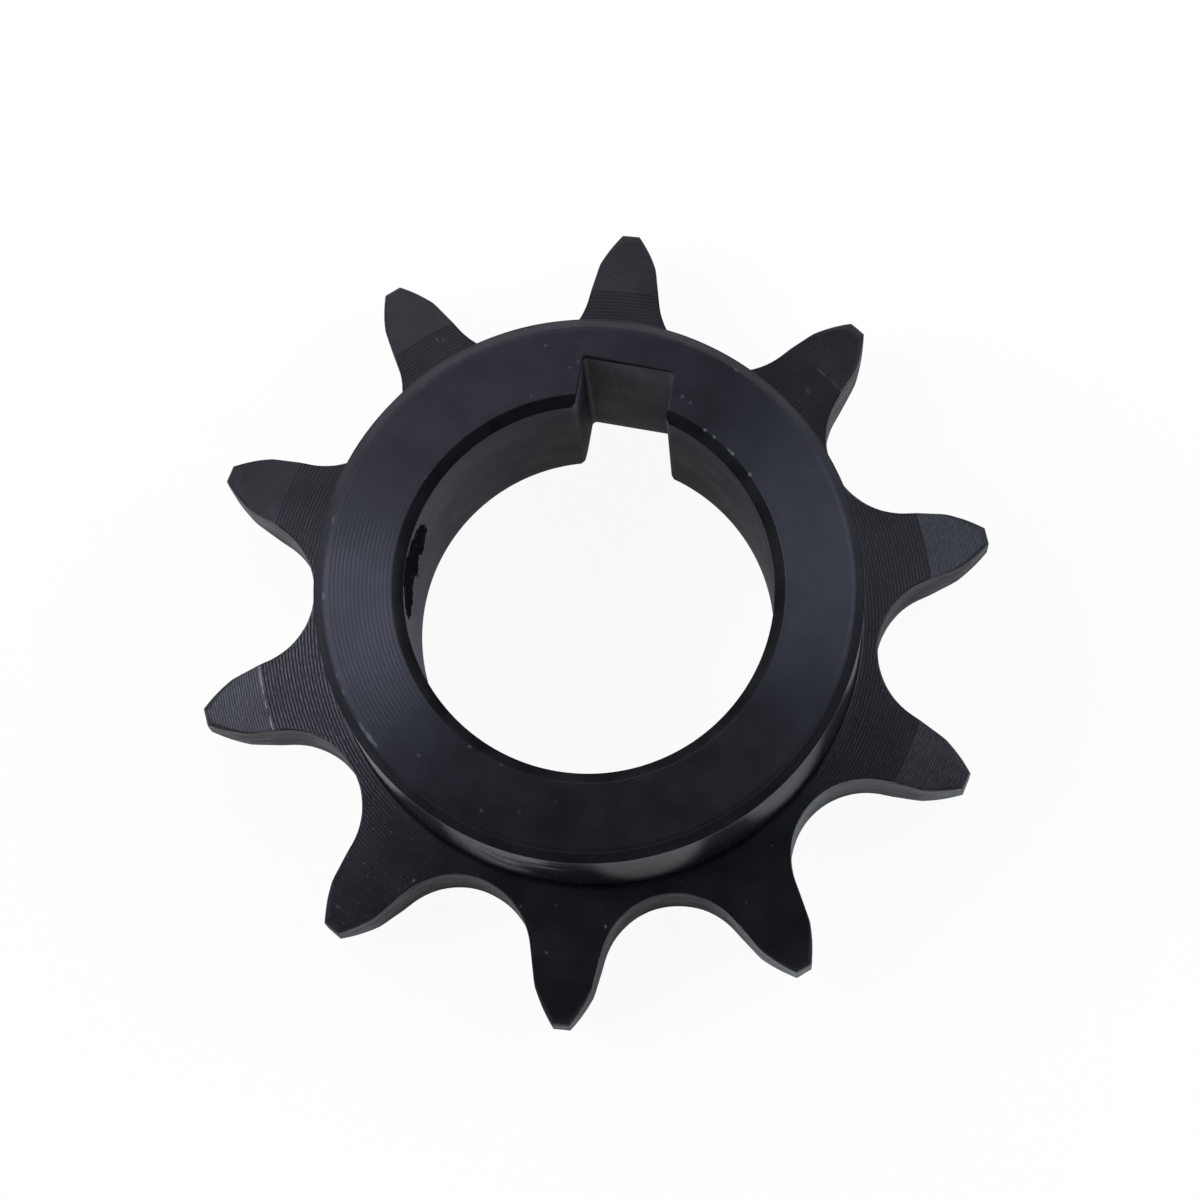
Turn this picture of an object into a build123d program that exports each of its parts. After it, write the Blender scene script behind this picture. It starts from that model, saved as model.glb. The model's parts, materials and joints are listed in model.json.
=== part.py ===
from build123d import *

import math
import os

# Chain sprocket with a hub on one side, turned and milled from one piece of steel.
# Millimetres. The origin is on the bore axis in the plane of the back face, +Z points
# to the hub's nose and +Y to the middle of the keyway.

# Chain and tooth form
tooth_count = 10
pitch = 12.7  # between roller centres, along the chord
roller_diameter = 8.51
root_relief = 0.45  # depth of the gap below a roller on the pitch circle
seat_play = 0.05  # how much larger the seat's radius is than the roller's
seat_half_angle = 61.5  # degrees of seat arc each side of the gap's centre line
tip_height = 2.0  # above the pitch circle
tip_flat = 0.95  # width of a tooth across its tip
topping_radius = 8.5  # of the rounded flank from the pitch circle to the tip
tooth_lead = 5.0  # degrees from the keyway to the nearest tooth, anticlockwise

# Plate, with its rim bevelled on both faces so that the teeth enter the chain
plate_thickness = 6.3
bevel_reach = 3.6  # radial width of each bevel
bevel_drop = 1.8  # how far each bevel falls from its face to the tips

# Hub
hub_diameter = 29.7
overall_length = 18.0
hub_nose_chamfer = 0.6
hub_root_fillet = 0.5

# Bore and keyway
bore_diameter = 20.0
nose_bore_chamfer = 0.6
back_bore_chamfer = 1.0
keyway_width = 5.0
keyway_depth = 2.35  # from the bore's surface to the floor, along the keyway's centre line
keyway_corner = 0.25  # radius between the floor and each wall
keyway_mouth_break = 0.2  # where each wall meets the bore

# Cutters run this far past what they cut
overrun = 1.0

pitch_radius = pitch / (2 * math.sin(math.pi / tooth_count))
root_radius = pitch_radius - roller_diameter / 2 - root_relief
seat_radius = roller_diameter / 2 + seat_play
tip_radius = pitch_radius + tip_height
hub_radius = hub_diameter / 2
bore_radius = bore_diameter / 2
keyway_floor = bore_radius + keyway_depth  # from the bore axis


def turned_blank():
    """Plate and hub as one revolved section, with the rim bevels and the bore's chamfers."""
    with BuildPart() as blank:
        with BuildSketch(Plane.XZ):
            with BuildLine():
                Polyline(
                    (bore_radius, back_bore_chamfer),
                    (bore_radius + back_bore_chamfer, 0),
                    (tip_radius - bevel_reach, 0),
                    (tip_radius, bevel_drop),
                    (tip_radius, plate_thickness - bevel_drop),
                    (tip_radius - bevel_reach, plate_thickness),
                    (hub_radius, plate_thickness),
                    (hub_radius, overall_length - hub_nose_chamfer),
                    (hub_radius - hub_nose_chamfer, overall_length),
                    (bore_radius + nose_bore_chamfer, overall_length),
                    (bore_radius, overall_length - nose_bore_chamfer),
                    close=True,
                )
            section = make_face()
            root_corner = section.vertices().sort_by_distance((hub_radius, plate_thickness))[0]
            fillet(root_corner, hub_root_fillet)
        revolve(axis=Axis.Z)
    return blank.part


def gap_outline():
    """The space between two teeth, centred on +X: roller seat, straight flanks, rounded tops."""
    tip_corner_angle = 180 / tooth_count - math.degrees(math.asin(tip_flat / 2 / tip_radius))
    clear_radius = tip_radius + overrun
    seat_centre = (root_radius + seat_radius, 0)
    with BuildSketch() as gap:
        with BuildLine():
            seat = CenterArc(seat_centre, seat_radius, 180 - seat_half_angle, 2 * seat_half_angle)
            pitch_circle = CenterArc((0, 0), pitch_radius, 0, 180 / tooth_count, mode=Mode.PRIVATE)
            flank = IntersectingLine(seat @ 0, -(seat % 0), pitch_circle)
            top = RadiusArc(flank @ 1, on_circle(tip_radius, tip_corner_angle), -topping_radius)
            clearance = Line(top @ 1, on_circle(clear_radius, tip_corner_angle))
            mirror([flank, top, clearance], about=Plane.XZ)
            CenterArc((0, 0), clear_radius, -tip_corner_angle, 2 * tip_corner_angle)
        make_face()
    return gap.sketch


def on_circle(radius, degrees):
    return Vector(radius, 0).rotate(Axis.Z, degrees)


def tooth_gaps():
    """All the gaps, cut straight through the plate."""
    cutter = Pos(0, 0, -overrun) * extrude(gap_outline(), amount=plate_thickness + 2 * overrun)
    first_gap = 90 + tooth_lead + 180 / tooth_count
    return [Rot(0, 0, first_gap + 360 / tooth_count * step) * cutter for step in range(tooth_count)]


def keyway_outline():
    """Flat floor with rounded corners, parallel walls, and a 45 degree break where each meets the bore."""
    half_width = keyway_width / 2
    mouth = math.sqrt(bore_radius**2 - half_width**2)
    inside_bore = 2 * keyway_mouth_break
    with BuildSketch() as slot:
        with BuildLine():
            Polyline(
                (-half_width - keyway_mouth_break - inside_bore, mouth - inside_bore),
                (-half_width, mouth + keyway_mouth_break),
                (-half_width, keyway_floor),
                (half_width, keyway_floor),
                (half_width, mouth + keyway_mouth_break),
                (half_width + keyway_mouth_break + inside_bore, mouth - inside_bore),
                close=True,
            )
        make_face()
        fillet(slot.vertices().group_by(Axis.Y)[-1], keyway_corner)
    return slot.sketch


def keyway():
    """The keyway, cut through the full length."""
    return Pos(0, 0, -overrun) * extrude(keyway_outline(), amount=overall_length + 2 * overrun)


def sprocket():
    return turned_blank() - tooth_gaps() - keyway()


os.makedirs("parts", exist_ok=True)
export_step(sprocket(), "parts/sprocket.step")
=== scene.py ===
import json
import math

import bpy
import numpy as np
from mathutils import Matrix, Vector, noise


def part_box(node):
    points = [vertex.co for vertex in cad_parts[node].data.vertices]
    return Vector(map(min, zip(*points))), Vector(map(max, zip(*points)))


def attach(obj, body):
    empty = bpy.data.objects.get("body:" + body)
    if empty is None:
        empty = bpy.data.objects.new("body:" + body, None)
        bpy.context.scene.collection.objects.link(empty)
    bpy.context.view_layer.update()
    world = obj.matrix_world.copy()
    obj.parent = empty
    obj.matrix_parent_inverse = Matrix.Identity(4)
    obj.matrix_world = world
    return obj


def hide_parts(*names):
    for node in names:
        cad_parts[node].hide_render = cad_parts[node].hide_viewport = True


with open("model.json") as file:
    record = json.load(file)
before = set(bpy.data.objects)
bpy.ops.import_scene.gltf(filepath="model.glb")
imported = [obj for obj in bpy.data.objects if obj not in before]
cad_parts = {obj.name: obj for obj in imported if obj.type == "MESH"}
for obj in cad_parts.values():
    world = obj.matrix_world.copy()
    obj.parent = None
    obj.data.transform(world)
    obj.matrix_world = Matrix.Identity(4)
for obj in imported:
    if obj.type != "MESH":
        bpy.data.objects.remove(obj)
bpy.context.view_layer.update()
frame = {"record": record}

# Lengths are in millimetres up to the last step of each object, which scales them to metres.
MM = 0.001

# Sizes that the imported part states
mounts = {mount["name"]: mount for mount in frame["record"]["mounts"]}
bore_radius = mounts["bore"]["dims"]["r_mm"]
pitch_radius = mounts["chain_ring"]["dims"]["pcd_mm"] / 2
overall_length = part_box("sprocket")[1].z / MM

# Sizes that the CAD part has and doesn't state
tooth_count = 10
tooth_lead = 5.0  # degrees from the keyway to the nearest tooth
root_radius = 15.844
seat_radius = 4.305
seat_half_angle = 61.5
tip_radius = 22.549
tip_flat = 0.95
topping_radius = 8.5
plate_thickness = 6.3
bevel_start = 18.949
bevel_slope = 0.5
hub_radius = 14.85
hub_nose_chamfer = 0.6
hub_root_fillet = 0.2  # less than the CAD part's, because the photo shows no bright line there
nose_bore_chamfer = 0.6
back_bore_chamfer = 1.0
keyway_half_width = 2.5
keyway_floor = 12.35
keyway_corner = 0.25
keyway_mouth_break = 0.2

# Edges that the CAD part leaves sharp
rim_round = 0.07  # radius that tumbling left on the edges of the teeth
shoulder_round = 0.12  # where the hub's wall turns into its chamfer
face_round = 0.4  # where the hub's chamfer meets its face
bore_round = 0.04
keyway_break = 0.06  # at both ends of the keyway
worn_corner = 0.12  # the most that the keyway's edge on the nose is dubbed off
worn_fall = 0.4  # of that worn edge, for each millimetre of its width
key_reach = 0.4  # radians from the keyway's middle, safely past its walls

# Mesh
stations_per_tooth = 56
tip_points = 6  # from a tooth's corner to the middle of its tip
tip_facet = 0.03  # from a tooth's corner to the stations on both sides of it
least_apart = 0.0002  # radians between two stations
crease = 0.03  # half the width of the turn from the flat to the bevel
least_bevel = 0.16  # between the flat and the edge of the teeth, in the gaps too
edge_strip = 0.1  # between a face's last ring and the edge, so that the face shades flat


def polar(points):
    """The angle and the radius of each point."""
    return np.arctan2(points[:, 1], points[:, 0]), np.hypot(points[:, 0], points[:, 1])


def arc(centre, radius, start, end, count):
    """Points of an arc between two angles in degrees."""
    angles = np.radians(np.linspace(start, end, count))
    return np.stack([centre[0] + radius * np.cos(angles), centre[1] + radius * np.sin(angles)], 1)


def degrees_of(way):
    return math.degrees(math.atan2(way[1], way[0]))


def half_gap():
    """One side of a tooth gap centred on +X: seat, flank, rounded top and half of the tip."""
    seat = arc((root_radius + seat_radius, 0), seat_radius, 180, 180 - seat_half_angle, 60)
    slope = math.radians(90 - seat_half_angle)
    along = np.array([math.cos(slope), math.sin(slope)])
    start = seat[-1]
    reach = -start @ along + math.sqrt((start @ along) ** 2 - start @ start + pitch_radius**2)
    flank = start + along * np.linspace(0, reach, 12)[1:, None]
    half_pitch = 180 / tooth_count
    corner_angle = half_pitch - math.degrees(math.asin(tip_flat / 2 / tip_radius))
    tip = arc((0, 0), tip_radius, corner_angle, half_pitch, tip_points)
    chord = tip[0] - flank[-1]
    length = math.hypot(*chord)
    inward = np.array([-chord[1], chord[0]]) / length
    centre = (tip[0] + flank[-1]) / 2 + inward * math.sqrt(topping_radius**2 - length**2 / 4)
    top = arc(centre, topping_radius, degrees_of(flank[-1] - centre), degrees_of(tip[0] - centre), 24)
    return np.concatenate([seat, flank, top[1:], tip[1:]])


def keyway_half():
    """One side of the keyway from the bore to its middle, for a keyway along +X."""
    mouth = math.sqrt(bore_radius**2 - keyway_half_width**2)
    flare = math.atan2(keyway_half_width + keyway_mouth_break, mouth)
    corner = (keyway_floor - keyway_corner, keyway_half_width - keyway_corner)
    wall = np.array([
        [bore_radius * math.cos(flare), bore_radius * math.sin(flare)],
        [mouth + 0.3 * keyway_mouth_break, keyway_half_width + 0.5 * keyway_mouth_break],
        [mouth + keyway_mouth_break, keyway_half_width],
    ])
    steps = np.linspace(mouth + keyway_mouth_break, corner[0], 9)[1:]
    side = np.stack([steps, np.full(len(steps), keyway_half_width)], 1)
    bend = arc(corner, keyway_corner, 90, 0, 6)[1:]
    across = np.linspace(corner[1], 0, 8)[1:]
    floor = np.stack([np.full(len(across), keyway_floor), across], 1)
    return np.concatenate([wall, side, bend, floor])


def spaced(points, count):
    """Angles that divide a line of points into equal lengths."""
    steps = np.hypot(*np.diff(points, axis=0).T)
    run = np.concatenate([[0], np.cumsum(steps)])
    angle, _ = polar(points)
    return np.interp(np.linspace(0, run[-1], count), run, angle)


def both_sides(angle, radius):
    """A half outline and its mirror image, by rising angle."""
    return np.concatenate([-angle[::-1], angle[1:]]), np.concatenate([radius[::-1], radius[1:]])


def gap_stations(half):
    """Angles across one tooth gap, with the corners of the teeth's tips among them."""
    angle, _ = polar(half)
    corner = angle[-tip_points]
    step = tip_facet / tip_radius
    tip_corner = [corner - step, corner, corner + step]
    chosen = np.unique(np.concatenate([spaced(half, stations_per_tooth // 2 + 1), tip_corner]))
    cell, _ = both_sides(chosen, chosen)
    return cell[:-1]


def turned_from(stations, centre, apart):
    """Angles from the nearest of the centres, which lie this far apart."""
    return np.mod(stations - centre + apart / 2, apart) - apart / 2


def outlines():
    """Station angles, and the radius of the teeth and of the bore with its keyway at each."""
    half = half_gap()
    pitch_angle = 2 * math.pi / tooth_count
    key_middle = math.pi / 2
    first = key_middle + math.radians(tooth_lead) + pitch_angle / 2
    cell = gap_stations(half)
    gaps = np.concatenate([cell + first + k * pitch_angle for k in range(tooth_count)])
    key_angle, key_radius = both_sides(*polar(keyway_half()[::-1]))
    stations = np.sort(np.mod(np.concatenate([gaps, key_angle + key_middle]), 2 * math.pi))
    apart = np.diff(np.concatenate([stations, [stations[0] + 2 * math.pi]]))
    stations = stations[apart > least_apart]
    tooth = np.interp(turned_from(stations, first, pitch_angle), *both_sides(*polar(half)))
    from_key = turned_from(stations, key_middle, 2 * math.pi)
    bore = np.interp(from_key, key_angle, key_radius, left=bore_radius, right=bore_radius)
    return stations, tooth, bore


def normals_of(points):
    """Outward normals of a closed outline that runs anticlockwise."""
    along = np.roll(points, -1, 0) - np.roll(points, 1, 0)
    out = np.stack([along[:, 1], -along[:, 0]], 1)
    return out / np.hypot(*out.T)[:, None]


def between(first, last, count):
    """Even steps from first to last, with both of them."""
    return [first + (last - first) * share for share in np.linspace(0, 1, count)]


def rounding(first, last, radius, steps):
    """Points of a small arc, from a sharp corner whose outward normals are at these angles."""
    middle = math.radians((first + last) / 2)
    reach = 1 / math.cos(math.radians(last - first) / 2)
    for turn in np.radians(np.linspace(first, last, steps)):
        across = radius * (math.cos(turn) - math.cos(middle) * reach)
        rise = radius * (math.sin(turn) - math.sin(middle) * reach)
        yield across, rise


def worn_key_corner(stations):
    """How far the nose's edge of the keyway is dubbed off: most in the corner towards -X."""
    from_key = np.clip(stations - math.pi / 2, -key_reach, key_reach)
    across = keyway_floor * np.tan(from_key) + keyway_half_width
    return worn_corner * np.clip(across / (2 * keyway_half_width), 0, 1) ** 1.5


def bevel_fall(radius):
    """How far a bevel has fallen from its face at this radius."""
    return bevel_slope * np.maximum(0, radius - bevel_start)


class Profile:
    """The sprocket's closed section at every station around the bore. Each of its rings joins
    the same point of all the sections, and has the name of the material from there to the next."""

    def __init__(self):
        self.stations, self.tooth, self.bore = outlines()
        self.direction = np.stack([np.cos(self.stations), np.sin(self.stations)], 1)
        self.flat_end = np.minimum(bevel_start, self.tooth - least_bevel)
        self.back_rim = np.maximum(bore_radius + back_bore_chamfer, self.bore + keyway_break)
        self.in_keyway = self.bore > bore_radius + nose_bore_chamfer
        worn_rim = self.bore + keyway_break + worn_key_corner(self.stations)
        nose_rim = np.where(self.in_keyway, worn_rim, bore_radius + nose_bore_chamfer)
        self.nose_rim = np.maximum(nose_rim, self.bore + keyway_break)
        self.rings = []
        self.zones = []

    def add(self, radius, height, zone):
        """A ring at these distances from the axis."""
        radius = np.broadcast_to(radius, (len(self.direction),))
        self.add_points(self.direction * radius[:, None], height, zone)

    def add_points(self, points, height, zone):
        """A ring through these points of the plan."""
        height = np.broadcast_to(height, (len(points),))
        self.rings.append(np.concatenate([points, height[:, None]], 1))
        self.zones.append(zone)


def add_back(profile):
    """The back face and its bevel, outwards."""
    for radius in between(profile.back_rim, profile.flat_end - crease, 6):
        profile.add(radius, 0, "plate")
    profile.add(profile.flat_end, 0, "plate")
    for radius in between(profile.flat_end + crease, profile.tooth - edge_strip, 7):
        profile.add(radius, bevel_fall(radius), "plate")


def add_gaps(profile):
    """The rim with its tooth gaps, up from the back."""
    outline = profile.direction * profile.tooth[:, None]
    outward = normals_of(outline)
    low = bevel_fall(profile.tooth)
    high = plate_thickness - low
    for across, rise in rounding(-90, 0, rim_round, 4):
        profile.add_points(outline + outward * across, low + rise, "gap")
    for height in between(low + rim_round, high - rim_round, 15)[1:-1]:
        profile.add_points(outline, height, "gap")
    for across, rise in rounding(0, 90, rim_round, 4):
        profile.add_points(outline + outward * across, high + rise, "gap")


def add_front(profile):
    """The front bevel and the plate's face, inwards to the foot of the hub."""
    for radius in between(profile.tooth - edge_strip, profile.flat_end + crease, 9):
        profile.add(radius, plate_thickness - bevel_fall(radius), "plate")
    profile.add(profile.flat_end, plate_thickness, "plate")
    foot = hub_radius + hub_root_fillet
    for radius in between(profile.flat_end - crease, foot, 9)[:-1]:
        profile.add(radius, plate_thickness, "plate")
    for turn in np.radians(np.linspace(0, 90, 5)):
        rise = hub_root_fillet * (1 - math.cos(turn))
        profile.add(foot - hub_root_fillet * math.sin(turn), plate_thickness + rise, "hub_edge")


def add_hub(profile):
    """The hub's wall, up, and its chamfer and face, inwards. Rings close to the roundings keep
    the shading of what lies between them flat."""
    foot = plate_thickness + hub_root_fillet
    shoulder = overall_length - hub_nose_chamfer
    for height in between(foot, shoulder - 0.15, 14)[1:-1]:
        profile.add(hub_radius, height, "hub")
    for across, rise in rounding(0, 45, shoulder_round, 6):
        profile.add(hub_radius + across, shoulder + rise, "hub")
    rim = hub_radius - hub_nose_chamfer
    for step in (hub_nose_chamfer - 0.08, 0.15):
        profile.add(rim + step, overall_length - step, "hub_edge")
    for across, rise in rounding(45, 90, face_round, 7):
        profile.add(rim + across, overall_length + rise, "nose")
    for step in (0.2, 0.3):
        profile.add(rim - step, overall_length, "nose")
    for radius in between(rim - 0.42, profile.nose_rim + edge_strip, 12)[:-1]:
        profile.add(radius, overall_length, "nose")


def add_bore(profile):
    """The bore's chamfers and wall, down from the nose."""
    bore = profile.bore
    width = profile.nose_rim - bore
    worn = keyway_break + worn_fall * (width - keyway_break)
    drop = np.where(profile.in_keyway, worn, width)
    tight = np.minimum(bore_round, drop * 0.8) / bore_round
    for across, rise in rounding(90, 135, bore_round, 4):
        profile.add(profile.nose_rim + tight * across, overall_length + tight * rise, "bore_rim")
    for across, rise in rounding(135, 180, bore_round, 4):
        profile.add(bore + tight * across, overall_length - drop + tight * rise, "bore_rim")
    top = overall_length - drop - edge_strip
    foot = profile.back_rim - bore
    low = foot + 1.5 * bore_round
    upper_shares = np.linspace(0, 0.55, 17)  # closer together, for the smear's outline
    for share in (*upper_shares, *np.linspace(0.62, 1, 6)):
        profile.add(bore, top + (low - top) * share, "bore")
    profile.add(bore + bore_round, foot - bore_round, "bore_rim")
    profile.add(profile.back_rim - bore_round, bore_round, "bore_rim")


def hub_swell(point):
    """The faint waves that turning left in the hub's wall."""
    return 0.012 * noise.noise(point * Vector((0.35, 0.35, 0.16)) + Vector((3, 1, 7)))


def gap_swell(point):
    """The waves that milling left in the tooth gaps, none of them outwards."""
    waves = 0.02 * noise.noise(point * Vector((0.5, 0.5, 0.9)))
    ripples = 0.012 * noise.noise(point * 2.2)
    return min(0.0, waves + ripples - 0.012)


def add_waves(profile):
    """Moves the rings of the hub's wall and of the tooth gaps in and out by their swell."""
    swells = {"hub": hub_swell, "gap": gap_swell}
    for ring, zone in zip(profile.rings, profile.zones):
        if zone in swells:
            for place in ring:
                swell = swells[zone](Vector(place))
                place[:2] *= 1 + swell / math.hypot(place[0], place[1])


# The dark smear on the bore's wall: degrees from +X, and the heights of its lower and upper edges.
# Its points come from the photo in the same way as the marks further down.
smear_edges = (
    (164.9, 12.5, 13.5),
    (166.9, 11.1, 15.6),
    (170.3, 10.0, 16.1),
    (174.2, 11.0, 16.6),
    (177.4, 8.8, 16.6),
    (180.0, 11.1, 17.4),
    (187.4, 9.7, 17.4),
    (191.8, 11.0, 16.3),
    (193.6, 11.5, 16.1),
    (196.0, 13.8, 15.7),
)
smear_raggedness = 0.35


def smeared(places):
    """Which of these places on the bore's wall the smear covers."""
    degrees, lows, highs = np.array(smear_edges).T
    turn = np.degrees(np.arctan2(places[..., 1], places[..., 0])) % 360
    ragged = smear_raggedness * np.sin(turn * 2.1) * np.sin(turn * 0.9)
    nowhere = 2 * overall_length
    low = np.interp(turn, degrees, lows, left=nowhere, right=nowhere) + ragged
    high = np.interp(turn, degrees, highs)
    return (places[..., 2] > low) & (places[..., 2] < high)


def next_station(values):
    return np.roll(values, -1, 0)


def face_slots(profile, slots):
    """Which material slot each quad has, by its ring and its station."""
    in_keyway = np.minimum(profile.bore, next_station(profile.bore)) > bore_radius + 0.02
    rows = []
    for ring, after, zone in zip(profile.rings, [*profile.rings[1:], profile.rings[0]], profile.zones):
        row = np.full(len(ring), slots.index(zone), np.int32)
        if zone == "bore":
            middles = (ring + after + next_station(ring) + next_station(after)) / 4
            row[in_keyway] = slots.index("keyway")
            row[smeared(middles)] = slots.index("smear")
        rows.append(row)
    return np.concatenate(rows)


def as_object(name, profile, materials):
    """The rings as one closed mesh."""
    count = len(profile.rings), len(profile.stations)
    index = np.arange(count[0] * count[1]).reshape(count)
    after = np.roll(index, -1, 0)
    quads = np.stack([index, np.roll(index, -1, 1), np.roll(after, -1, 1), after], 2)
    corners = np.concatenate(profile.rings) * MM
    mesh = bpy.data.meshes.new(name)
    mesh.from_pydata(corners.tolist(), [], quads.reshape(-1, 4).tolist())
    for material in materials.values():
        mesh.materials.append(material)
    mesh.polygons.foreach_set("material_index", face_slots(profile, list(materials)))
    mesh.polygons.foreach_set("use_smooth", np.ones(len(mesh.polygons), bool))
    mesh.update()
    piece = bpy.data.objects.new(name, mesh)
    bpy.context.scene.collection.objects.link(piece)
    return piece


# Camera, from a fit to the photo's outline
picture_turn = 10.08  # degrees, anticlockwise, from the part's +Y to the picture's up
camera_distance = 306.2
camera_tilt = 9.39  # degrees from straight down
camera_bearing = -79.39  # in the picture's own axes
aim = (0.077, 2.235)  # on the floor, in the picture's own axes
focal_share = 5365.6 / 1200  # focal length as a share of the picture's width
sensor_width = 36.0


def way_to(bearing, zenith):
    """From the part towards this bearing in the picture's axes and this angle from straight up."""
    turn = math.radians(bearing + picture_turn)
    fall = math.radians(zenith)
    return Vector((math.sin(fall) * math.cos(turn), math.sin(fall) * math.sin(turn), math.cos(fall)))


def add_camera():
    """The photo's camera. It looks at the aim, with the picture's up across the floor."""
    turn = Matrix.Rotation(math.radians(picture_turn), 3, "Z")
    away = way_to(camera_bearing, camera_tilt)
    target = turn @ Vector((*aim, 0))
    side = (-away).cross(turn @ Vector((0, 1, 0))).normalized()
    rise = side.cross(-away)
    data = bpy.data.cameras.new("camera")
    data.sensor_width = sensor_width
    data.lens = sensor_width * focal_share
    data.clip_start = 0.01
    camera = bpy.data.objects.new("camera", data)
    axes = Matrix((side, rise, away)).transposed().to_4x4()
    camera.matrix_world = Matrix.Translation((target + away * camera_distance) * MM) @ axes
    bpy.context.scene.collection.objects.link(camera)
    bpy.context.scene.camera = camera


class Finish:
    """A material on the Principled shader, built up from nodes that read the part's millimetres."""

    def __init__(self, name):
        self.material = bpy.data.materials.new(name)
        self.material.use_nodes = True
        self.tree = self.material.node_tree
        self.shader = self.tree.nodes["Principled BSDF"]
        place = self.node("TexCoord").outputs["Object"]
        self.place = self.vector("SCALE", place, scale=1 / MM)
        split = self.node("SeparateXYZ")
        self.link(self.place, split.inputs[0])
        self.x, self.y, self.z = split.outputs
        flat = self.vector("MULTIPLY", self.place, (1, 1, 0))
        self.radius = self.vector("LENGTH", flat, output="Value")
        self.outward = self.vector("NORMALIZE", flat)
        self.turn = self.math("ARCTAN2", self.y, self.x)

    def node(self, kind, **settings):
        """A new node with these properties."""
        made = self.tree.nodes.new("ShaderNode" + kind)
        for name, value in settings.items():
            setattr(made, name, value)
        return made

    def link(self, value, socket):
        """Joins another node's output to a socket, or sets the socket to a plain value."""
        if isinstance(value, bpy.types.NodeSocket):
            self.tree.links.new(value, socket)
        else:
            socket.default_value = value

    def set(self, **values):
        """Links or sets the shader's own sockets, each named with _ for a space."""
        for name, value in values.items():
            self.link(value, self.shader.inputs[name.replace("_", " ")])

    def linked_to(self, name):
        """The output that one of the shader's sockets is linked to."""
        return self.shader.inputs[name].links[0].from_socket

    def math(self, operation, *values):
        made = self.node("Math", operation=operation)
        for value, socket in zip(values, made.inputs):
            self.link(value, socket)
        return made.outputs[0]

    def vector(self, operation, *values, scale=None, output="Vector"):
        made = self.node("VectorMath", operation=operation)
        for value, socket in zip(values, made.inputs):
            self.link(value, socket)
        if scale is not None:
            self.link(scale, made.inputs["Scale"])
        return made.outputs[output]

    def joined(self, x, y, z):
        """A vector from its three parts."""
        made = self.node("CombineXYZ")
        for value, socket in zip((x, y, z), made.inputs):
            self.link(value, socket)
        return made.outputs[0]

    def noise(self, place, scale, detail=2.0, roughness=0.5):
        """Noise around 0.5."""
        made = self.node("TexNoise")
        self.link(place, made.inputs["Vector"])
        self.link(scale, made.inputs["Scale"])
        self.link(detail, made.inputs["Detail"])
        self.link(roughness, made.inputs["Roughness"])
        return made.outputs["Fac"]

    def stretched(self, scales, **settings):
        """Noise with a scale of its own along each axis."""
        return self.noise(self.vector("MULTIPLY", self.place, scales), 1.0, **settings)

    def swept(self, per_millimetre, per_turn, **settings):
        """Noise that changes fast outwards and slowly around the bore, with no seam."""
        around = self.vector("SCALE", self.outward, scale=per_turn)
        out = self.math("MULTIPLY", self.radius, per_millimetre)
        return self.noise(self.vector("ADD", around, self.joined(0, 0, out)), 1.0, **settings)

    def ramp(self, value, low, high, start=0.0, end=1.0):
        """start up to low, end from high on, and smooth between."""
        made = self.node("MapRange", interpolation_type="SMOOTHSTEP")
        for item, socket in zip((value, low, high, start, end), made.inputs):
            self.link(item, socket)
        return made.outputs[0]

    def mix(self, share, first, second):
        """A colour between two others."""
        made = self.node("Mix", data_type="RGBA")
        self.link(share, made.inputs[0])
        for value, socket in zip((first, second), (made.inputs[6], made.inputs[7])):
            self.link(value if isinstance(value, bpy.types.NodeSocket) else (*value, 1), socket)
        return made.outputs[2]

    def relief(self, *layers):
        """Bends the surface as if it rose by the sum of some patterns, each times its height in
        millimetres."""
        total = 0.0
        for pattern, height in layers:
            total = self.math("MULTIPLY_ADD", pattern, height, total)
        made = self.node("Bump")
        self.link(MM, made.inputs["Distance"])
        self.link(total, made.inputs["Height"])
        self.link(made.outputs[0], self.shader.inputs["Normal"])


def leaning(degrees):
    """The rise for each millimetre that leans a surface's shading by this angle the way the value
    grows. The mesh doesn't lean: the angles were chosen to match the photo's reflections."""
    return -math.tan(math.radians(degrees))


def away_from(finish, place, reach, tilt=0):
    """0 at a place (radius, degrees from +X, height) and 1 at this reach outwards, around and up,
    with the last two turned up from level by the tilt in degrees."""
    radius, degrees, height = place
    turn = math.radians(degrees)
    local = finish.node("Mapping", vector_type="TEXTURE")
    finish.link(finish.place, local.inputs["Vector"])
    local.inputs["Location"].default_value = (radius * math.cos(turn), radius * math.sin(turn), height)
    local.inputs["Rotation"].default_value = (math.radians(tilt), 0, turn)
    local.inputs["Scale"].default_value = reach
    return finish.vector("LENGTH", local.outputs[0], output="Value")


def bared(finish, marks, height):
    """The share of bare steel in these marks on the level at this height, and 0 beside them."""
    total = 0.0
    for radius, degrees, across, around, share in marks:
        away = away_from(finish, (radius, degrees, height), (across, around, across))
        total = finish.math("MAXIMUM", finish.ramp(away, 0.2, 1.0, share, 0.0), total)
    return total


def facing(finish, degrees, low, high):
    """1 in this direction from the bore, falling to 0 where the cosine of the turn from it is low."""
    towards = (math.cos(math.radians(degrees)), math.sin(math.radians(degrees)), 0)
    cosine = finish.vector("DOT_PRODUCT", finish.outward, towards, output="Value")
    return finish.ramp(cosine, low, high)


def spiral(finish, pitch):
    """The groove that a tool cuts: it moves outwards by the pitch in each turn, and wavers a little."""
    waver = finish.math("MULTIPLY", finish.swept(2.0, 60.0), 2.4)
    phase = finish.math("MULTIPLY_ADD", finish.radius, 2 * math.pi / pitch, finish.turn)
    return finish.math("SINE", finish.math("ADD", phase, waver))


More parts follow.
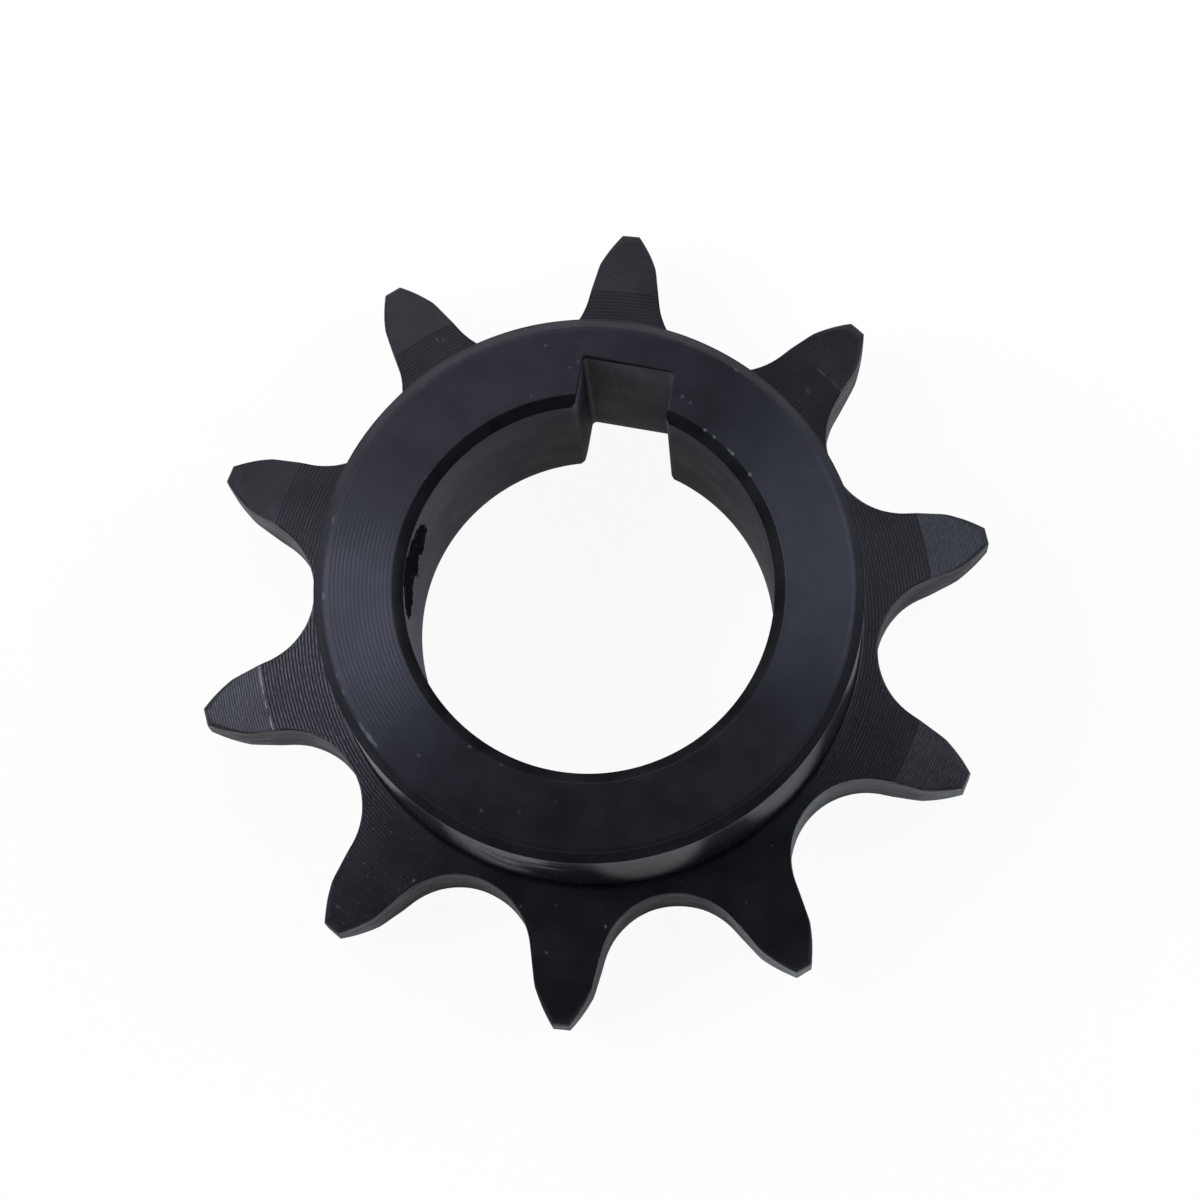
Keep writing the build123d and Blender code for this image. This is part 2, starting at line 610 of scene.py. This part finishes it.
# Where the coat is knocked off: radius, degrees from +X, half lengths outwards and around, and
# share of bare steel, which is over 1 where the mark has a sharper edge. Each place was picked
# in the photo and turned into these units through the fitted camera. The rest was set one by one.
hub_edge_marks = (
    (14.42, 49.8, 0.10, 0.16, 0.5),
    (14.36, 66.2, 0.17, 0.24, 0.9),
    (14.40, 161.7, 0.12, 0.22, 0.6),
    (14.38, 165.8, 0.12, 0.20, 0.6),
    (14.30, 174.8, 0.16, 0.36, 0.6),
    (14.38, 180.8, 0.12, 0.30, 0.5),
    (14.30, 191.6, 0.16, 0.34, 0.8),
    (14.34, 209.4, 0.14, 0.30, 0.6),
    (14.32, 213.2, 0.14, 0.30, 0.8),
    (14.30, 222.0, 0.16, 0.60, 0.9),
    (14.26, 224.6, 0.20, 0.60, 1.0),
    (14.22, 226.4, 0.14, 0.40, 0.7),
)
bore_rim_marks = (
    (10.62, 63.8, 0.14, 0.16, 1.0),
    (10.62, 60.4, 0.13, 0.16, 0.8),
    (10.62, 54.4, 0.13, 0.26, 0.6),
    (10.62, 53.2, 0.14, 0.18, 1.0),
    (10.62, 45.2, 0.15, 0.16, 1.0),
)
nose_marks = (
    (11.59, 74.1, 0.16, 0.14, 0.5),
    (11.49, 71.4, 0.12, 0.12, 0.4),
    (10.69, 243.6, 0.12, 0.14, 0.5),
    (10.64, 254.2, 0.12, 0.14, 0.35),
    (13.32, 254.7, 0.14, 0.14, 0.4),
    (12.66, 263.0, 0.12, 0.14, 0.25),
    (11.70, 271.5, 0.12, 0.12, 0.2),
    (12.83, 235.0, 0.14, 0.16, 0.3),
    (14.25, 138.9, 0.12, 0.14, 0.3),
    (10.62, 155.4, 0.12, 0.14, 0.25),
    (10.91, 116.5, 0.12, 0.12, 0.25),
    (13.47, 110.0, 0.14, 0.14, 0.3),
    (12.09, 104.9, 0.12, 0.12, 0.25),
    (12.39, 102.6, 0.12, 0.12, 0.25),
)
plate_marks = (
    (17.66, 245.3, 0.12, 0.10, 1.6),
    (16.49, 265.6, 0.09, 0.09, 0.7),
    (16.06, 272.4, 0.09, 0.09, 0.5),
    (17.10, 282.0, 0.12, 0.09, 1.6),
    (18.72, 271.8, 0.10, 0.12, 0.6),
    (15.37, 298.2, 0.08, 0.08, 0.5),
    (15.96, 317.8, 0.09, 0.09, 0.6),
    (17.87, 308.0, 0.08, 0.08, 0.5),
    (16.53, 356.2, 0.09, 0.10, 0.7),
    (17.13, 354.3, 0.08, 0.08, 0.5),
    (19.02, 58.0, 0.08, 0.50, 0.6),
    (19.06, 55.0, 0.08, 0.45, 0.8),
    (17.70, 57.7, 0.20, 0.30, 0.2),
    (18.43, 129.0, 0.30, 0.07, 0.4),
    (18.21, 128.1, 0.25, 0.06, 0.3),
)

# Shallow dents in the shading of the hub's wall, which the mesh doesn't have: degrees from +X,
# height, half length, half width, degrees that the length rises from level, and depth. They were
# set until the wall's reflections looked like the photo's.
wall_dents = (
    (260.3, 11.2, 2.3, 0.8, -45, 0.28),
    (266.0, 14.2, 3.4, 1.1, -4, 0.32),
    (270.5, 10.6, 3.4, 4.2, 0, 0.42),
)

# Black oxide on steel. Its mirror-like part is faint and a little blue.
oxide = (0.0060, 0.0063, 0.0080)
oxide_gloss = 0.42
oxide_tint = (0.77, 0.77, 1.0, 1)
# Bare steel, also the colour of the painted highlights on the groove tops
bare_steel_and_sheen = (0.09, 0.093, 0.105)
# Colour of the painted highlight on the start of the bevel
crease_highlight_colour = (0.26, 0.26, 0.28)

# Distance between the turning marks, and half their depth
flat_pitch = 0.189
bevel_pitch = 0.151
plate_groove = 0.012
nose_pitch = 0.220
nose_groove = 0.0035


def finished(name, roughness, gloss=oxide_gloss, tint=oxide_tint, anisotropy=0.0):
    """A finish whose roughness drifts slowly. Any anisotropy is that of marks around the bore."""
    finish = Finish(name)
    finish.set(Specular_IOR_Level=gloss, Specular_Tint=tint, Anisotropic=anisotropy)
    if anisotropy:
        finish.set(Tangent=finish.outward)
    drift = finish.noise(finish.place, 0.35, detail=3.0)
    finish.set(Roughness=finish.ramp(drift, 0.3, 0.7, roughness * 0.92, roughness * 1.08))
    return finish


def add_oxide(finish, *wear_and_sheen, base=oxide, spread=0.35):
    """The coat's colour, with slow drift, and bare steel where a layer is 1: real wear, and painted
    highlights.
    """
    slow = finish.noise(finish.place, 0.5, detail=3.0)
    darker = tuple(part * (1 - spread) for part in base)
    lighter = tuple(part * (1 + spread) for part in base)
    colour = finish.mix(finish.ramp(slow, 0.3, 0.7), darker, lighter)
    for worn in wear_and_sheen:
        colour = finish.mix(worn, colour, bare_steel_and_sheen)
    finish.set(Base_Color=colour)


def plate_groove_wave(finish, bevelled):
    """Coarse grooves on the flat and finer ones on the bevels, broken into dashes."""
    coarse = spiral(finish, flat_pitch)
    fine = spiral(finish, bevel_pitch)
    wave = finish.math("MULTIPLY_ADD", bevelled, finish.math("SUBTRACT", fine, coarse), coarse)
    dashes = finish.ramp(finish.swept(6.0, 60.0), 0.38, 0.62, 0.3, 1.0)
    return finish.math("MULTIPLY", wave, dashes)


def groove_highlights(finish, wave, bevelled, east, west):
    """Painted highlights on the tops of the grooves, towards both sides, where they face the lamps, and
    more on the bevels.
    """
    flat = finish.math("SUBTRACT", 1.0, bevelled)
    painted_sheen = finish.math("MULTIPLY", east, finish.math("MULTIPLY_ADD", flat, -0.3, 0.6))
    painted_sheen = finish.math("MULTIPLY_ADD", west, 0.45, painted_sheen)
    return finish.math("MULTIPLY", painted_sheen, finish.ramp(wave, -0.2, 1.0))


def painted_crease_highlight(finish):
    """Painted highlight: the start of the bevel made bright on the tooth towards -X, which faces the
    left lamp.
    """
    off_line = finish.math("ABSOLUTE", finish.math("SUBTRACT", finish.radius, bevel_start))
    line = finish.ramp(off_line, 0.02, 0.07, 1, 0)
    line = finish.math("MULTIPLY", line, facing(finish, 204, 0.975, 0.995))
    return finish.math("MULTIPLY", line, finish.ramp(finish.noise(finish.place, 2.0), 0.35, 0.6))


def plate_finish():
    """Turned face and bevels, with the marks plainest towards -X. The shading leans outwards."""
    finish = finished("turned_plate", 0.42, gloss=0.34, tint=(0.85, 0.84, 1.0, 1), anisotropy=0.4)
    east = facing(finish, 5, 0.7, 0.93)
    west = facing(finish, 203, 0.80, 0.97)
    finish.set(Roughness=finish.math("MULTIPLY_ADD", east, 0.07, finish.linked_to("Roughness")))
    bevelled = finish.math("GREATER_THAN", finish.radius, bevel_start)
    wave = plate_groove_wave(finish, bevelled)
    specks = bared(finish, plate_marks, plate_thickness)
    dust = finish.ramp(finish.noise(finish.place, 6.0, detail=2.0), 0.66, 0.78, 0.0, 0.8)
    dust = finish.math("MULTIPLY", dust, facing(finish, 236, 0.9, 0.98))
    # The groove tops are painted highlights; the specks and the dust are real marks.
    painted_sheen = groove_highlights(finish, wave, bevelled, east, west)
    add_oxide(finish, specks, dust, painted_sheen, base=(0.0066, 0.0066, 0.0086))
    # Painted highlight along the start of the bevel on the tooth towards -X
    finish.set(Base_Color=finish.mix(painted_crease_highlight(finish), finish.linked_to("Base Color"), crease_highlight_colour))
    patches = finish.ramp(finish.noise(finish.place, 0.8, detail=3.0), 0.35, 0.65, 0.5, 1.0)
    strength = finish.math("MULTIPLY", finish.math("MULTIPLY_ADD", west, 0.6, 0.4), patches)
    finish.relief(
        (finish.math("MULTIPLY", wave, strength), plate_groove),
        (finish.swept(5.0, 9.0, detail=3.0), 0.006),
        (finish.noise(finish.place, 7.0, detail=3.0), 0.004),
        (finish.radius, leaning(5)),
    )
    return finish.material


def nose_finish():
    """The hub's face, with fine turning marks. Its shading leans outwards."""
    finish = finished("hub_face", 0.455, anisotropy=0.68)
    add_oxide(finish, bared(finish, hub_edge_marks + bore_rim_marks + nose_marks, overall_length))
    strength = finish.math("MULTIPLY_ADD", facing(finish, 200, 0.6, 0.95), 0.8, 0.2)
    finish.relief(
        (finish.math("MULTIPLY", spiral(finish, nose_pitch), strength), nose_groove),
        (finish.swept(6.0, 5.0, detail=3.0), 0.004),
        (finish.radius, leaning(10)),
    )
    return finish.material


def wall_finish():
    """The hub's turned wall. Its fine marks run around it and its shading leans upwards."""
    finish = finished("hub_wall", 0.26, gloss=0.13, anisotropy=0.5)
    add_oxide(finish, base=(0.010, 0.0103, 0.0125), spread=0.2)
    finish.set(Tangent=finish.joined(0, 0, 1))
    rings = finish.stretched((0.3, 0.3, 5.0), detail=3.0)
    layers = [(rings, 0.002), (finish.z, leaning(7))]
    for degrees, middle, half_length, half_width, tilt, depth in wall_dents:
        away = away_from(finish, (hub_radius, degrees, middle), (3.0, half_length, half_width), tilt)
        layers.append((finish.ramp(away, 0, 1, 1, 0), -depth))
    finish.relief(*layers)
    return finish.material


def hub_edge_finish():
    """The hub's outer chamfer, and the fillet at its foot."""
    finish = finished("hub_chamfer", 0.28, gloss=0.28)
    add_oxide(finish, bared(finish, hub_edge_marks, overall_length))
    finish.relief((finish.swept(3.0, 12.0), 0.002))
    return finish.material


def bore_rim_finish():
    """The bore's chamfers."""
    finish = finished("bore_chamfers", 0.3, gloss=0.3, tint=(0.9, 0.9, 1.0, 1))
    add_oxide(finish, bared(finish, bore_rim_marks, overall_length), base=(0.009, 0.009, 0.011))
    finish.relief((finish.swept(3.0, 12.0), 0.003))
    return finish.material


def gap_finish():
    """Milled walls of the tooth gaps, rougher and greyer, with marks that run along them."""
    finish = finished("milled_gaps", 0.6, gloss=0.34, tint=(0.95, 0.93, 1.0, 1))
    add_oxide(finish, base=(0.062, 0.061, 0.066))
    # Painted light: the walls towards 328 degrees, which the right lamp lights, are lighter
    painted_lit_side = facing(finish, 328, 0.88, 0.96)
    colour = finish.mix(painted_lit_side, finish.linked_to("Base Color"), (0.20, 0.20, 0.21))
    scars = finish.stretched((0.5, 0.5, 2.4), detail=4.0, roughness=0.6)
    colour = finish.mix(finish.ramp(scars, 0.56, 0.70, 0.0, 0.7), colour, (0.016, 0.016, 0.018))
    colour = finish.mix(finish.ramp(scars, 0.30, 0.44, 0.25, 0.0), colour, (0.15, 0.145, 0.15))
    grain = finish.noise(finish.place, 7.0, detail=3.0)
    colour = finish.mix(finish.ramp(grain, 0.4, 0.7, 0.0, 0.3), colour, (0.02, 0.02, 0.022))
    finish.set(Base_Color=colour, Roughness=finish.ramp(scars, 0.35, 0.65, 0.5, 0.75))
    finish.relief((finish.stretched((0.5, 0.5, 3.5), detail=4.0), 0.04), (grain, 0.016))
    return finish.material


def bore_finish():
    """The bore's wall, with painted light: lighter towards -X, where the wall faces the right lamp."""
    finish = finished("bore_wall", 0.55, gloss=0.4, tint=(0.9, 0.9, 1.0, 1))
    # Painted light: lighter and bluer where the wall faces the right lamp
    painted_lit_side = facing(finish, 160, -0.3, 0.9)
    finish.set(Base_Color=finish.mix(painted_lit_side, (0.008, 0.0075, 0.013), (0.092, 0.090, 0.116)))
    waves = finish.stretched((1.0, 1.0, 0.6), detail=4.0)
    grain = finish.noise(finish.place, 6.0, detail=3.0)
    finish.relief((waves, 0.03), (grain, 0.008))
    return finish.material


def smear_finish():
    """Dull black, with a few light grains in it."""
    finish = finished("smear", 0.5, gloss=0.0)
    grains = finish.ramp(finish.noise(finish.place, 2.6, detail=1.0), 0.66, 0.74, 0.0, 1.6)
    finish.set(Base_Color=finish.mix(grains, (0.012, 0.012, 0.015), bare_steel_and_sheen))
    finish.relief((finish.noise(finish.place, 3.0), 0.06))
    return finish.material


def keyway_finish():
    """Broached: the marks run along the bore, and the coat is thin and a little brown."""
    finish = finished("keyway_walls", 0.55, gloss=0.6, tint=(0.95, 0.93, 1.0, 1))
    streaks = finish.stretched((2.2, 2.2, 0.25), detail=4.0)
    share = finish.ramp(streaks, 0.35, 0.65)
    finish.set(Base_Color=finish.mix(share, (0.062, 0.063, 0.090), (0.110, 0.103, 0.132)))
    finish.relief((streaks, 0.03))
    return finish.material


def add_sprocket():
    """The one piece, round from the back face to the bore."""
    materials = {
        "plate": plate_finish(),
        "gap": gap_finish(),
        "hub": wall_finish(),
        "hub_edge": hub_edge_finish(),
        "bore_rim": bore_rim_finish(),
        "nose": nose_finish(),
        "bore": bore_finish(),
        "smear": smear_finish(),
        "keyway": keyway_finish(),
    }
    profile = Profile()
    add_back(profile)
    add_gaps(profile)
    add_front(profile)
    add_hub(profile)
    add_bore(profile)
    add_waves(profile)
    sprocket = as_object("sprocket_body", profile, materials)
    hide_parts("sprocket")
    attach(sprocket, "root")


# Studio: a pale floor that turns up far away, in metres, and three round softboxes
floor_radius = 5.0
floor_lip = 0.2
floor_gap = 0.02 * MM  # between the floor and the part
floor_whiteness = 0.94  # how much of the floor's picture is plain white, so that its shadow stays faint
mirrored_whiteness = 0.2  # the same in reflections, which show more of the shadow
lamp_distance = 0.8
room_light = 0.03


def add_floor():
    """A disc just below the part, with a low turned-up edge that closes the horizon."""
    around = np.radians(np.arange(0, 360, 5))
    count = len(around)
    edge = floor_radius + floor_lip
    verts = [(0, 0, 0)]
    for reach, rise in ((floor_radius, 0), (edge, 0.2 * floor_lip), (edge, floor_lip)):
        verts += [(reach * math.cos(turn), reach * math.sin(turn), rise) for turn in around]
    faces = [(0, 1 + k, 1 + (k + 1) % count) for k in range(count)]
    for first in (1, 1 + count):
        for k in range(count):
            near = first + k
            far = first + (k + 1) % count
            faces.append((near, near + count, far + count, far))
    data = bpy.data.meshes.new("floor")
    data.from_pydata(verts, [], faces)
    data.materials.append(floor_material())
    floor = bpy.data.objects.new("floor", data)
    floor.location.z = -floor_gap
    bpy.context.scene.collection.objects.link(floor)


def floor_material():
    """Matt and pale to light that falls on it, and white in the picture and in reflections."""
    floor = Finish("floor")
    floor.set(Base_Color=(0.9, 0.9, 0.9, 1), Roughness=0.9, Specular_IOR_Level=0)
    path = floor.node("LightPath").outputs
    mirrored = floor.math("ADD", path["Is Glossy Ray"], path["Is Transmission Ray"])
    mirrored = floor.math("MULTIPLY", mirrored, mirrored_whiteness)
    share = floor.math("MULTIPLY_ADD", path["Is Camera Ray"], floor_whiteness, mirrored)
    mix = floor.node("MixShader")
    floor.link(share, mix.inputs["Fac"])
    floor.link(floor.shader.outputs[0], mix.inputs[1])
    floor.link(floor.node("Emission").outputs[0], mix.inputs[2])
    floor.link(mix.outputs[0], floor.tree.nodes["Material Output"].inputs["Surface"])
    return floor.material


def add_softbox(name, bearing, zenith, half_angle, brightness, colour):
    """A round lamp that faces the part: its place in the picture's axes, in degrees, the angle
    that it fills seen from the part, and its brightness, where the floor in full light is 1."""
    data = bpy.data.lights.new(name, "AREA")
    data.shape = "DISK"
    data.size = 2 * lamp_distance * math.tan(math.radians(half_angle))
    data.energy = brightness * math.pi * math.pi * data.size**2 / 4
    data.color = colour
    lamp = bpy.data.objects.new(name, data)
    away = way_to(bearing, zenith)
    lamp.location = away * lamp_distance
    lamp.rotation_euler = away.to_track_quat("Z", "Y").to_euler()
    bpy.context.scene.collection.objects.link(lamp)


def add_world():
    """The faint light of the room."""
    world = bpy.data.worlds.new("studio")
    bpy.context.scene.world = world
    world.use_nodes = True
    room = world.node_tree.nodes["Background"].inputs
    room["Color"].default_value = (0.9, 0.95, 1.0, 1)
    room["Strength"].default_value = room_light


add_sprocket()
add_camera()
add_floor()
add_softbox("left", 175.4, 45.1, 16.3, 9.6, colour=(0.9, 0.96, 1.0))
add_softbox("right", 19.1, 48.6, 25.0, 3.1, colour=(0.86, 0.96, 1.0))
add_softbox("back", 111.2, 50.1, 28.0, 1.6, colour=(1, 1, 1))
add_world()
bpy.context.scene.view_settings.view_transform = "Standard"
